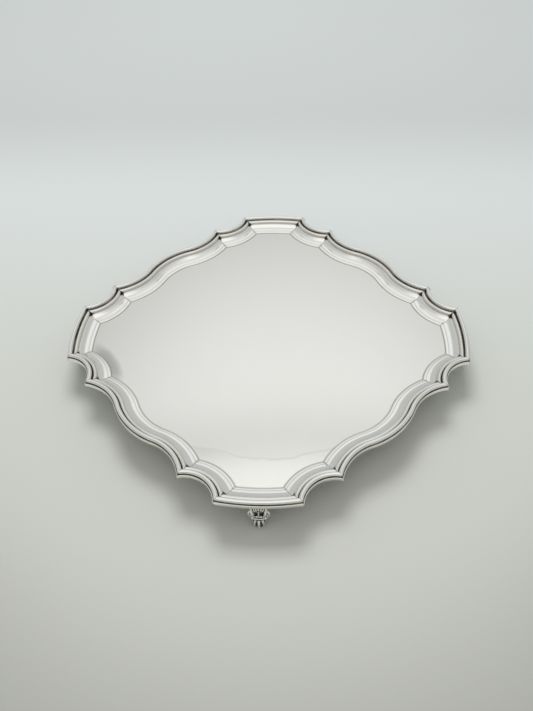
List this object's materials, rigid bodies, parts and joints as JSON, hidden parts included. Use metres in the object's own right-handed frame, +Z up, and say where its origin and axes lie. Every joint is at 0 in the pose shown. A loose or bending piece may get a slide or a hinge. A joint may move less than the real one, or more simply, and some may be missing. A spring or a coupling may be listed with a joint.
{
  "type": "salver",
  "caption": "Square silver salver with a shaped, stepped moulded border mitred at its cusps, a plain flat ground and cast claw feet under the corners",
  "frame": {"origin": "on the table under the middle of the plate, where the diagonals of the square cross", "axes": "+Z up; +X and +Y through the crests in the middle of two sides, so the corners and the feet lie on the diagonals"},
  "size_m": [0.254, 0.254, 0.0273],
  "materials": {
    "ground": "polished sterling silver sheet",
    "moulding": "polished silver moulding with tarnish in the grooves",
    "cast_foot": "cast silver, polished high points and darkened hollows"
  },
  "bodies": {
    "root": {"plate": "ground", "corner_border_1": "moulding", "corner_border_2": "moulding", "corner_border_3": "moulding", "corner_border_4": "moulding", "cove_border_1": "moulding", "cove_border_2": "moulding", "cove_border_3": "moulding", "cove_border_4": "moulding", "cove_border_5": "moulding", "cove_border_6": "moulding", "cove_border_7": "moulding", "cove_border_8": "moulding", "side_border_1": "moulding", "side_border_2": "moulding", "side_border_3": "moulding", "side_border_4": "moulding", "foot_1": "cast_foot", "foot_2": "cast_foot", "foot_3": "cast_foot", "foot_4": "cast_foot"}
  },
  "joints": []
}
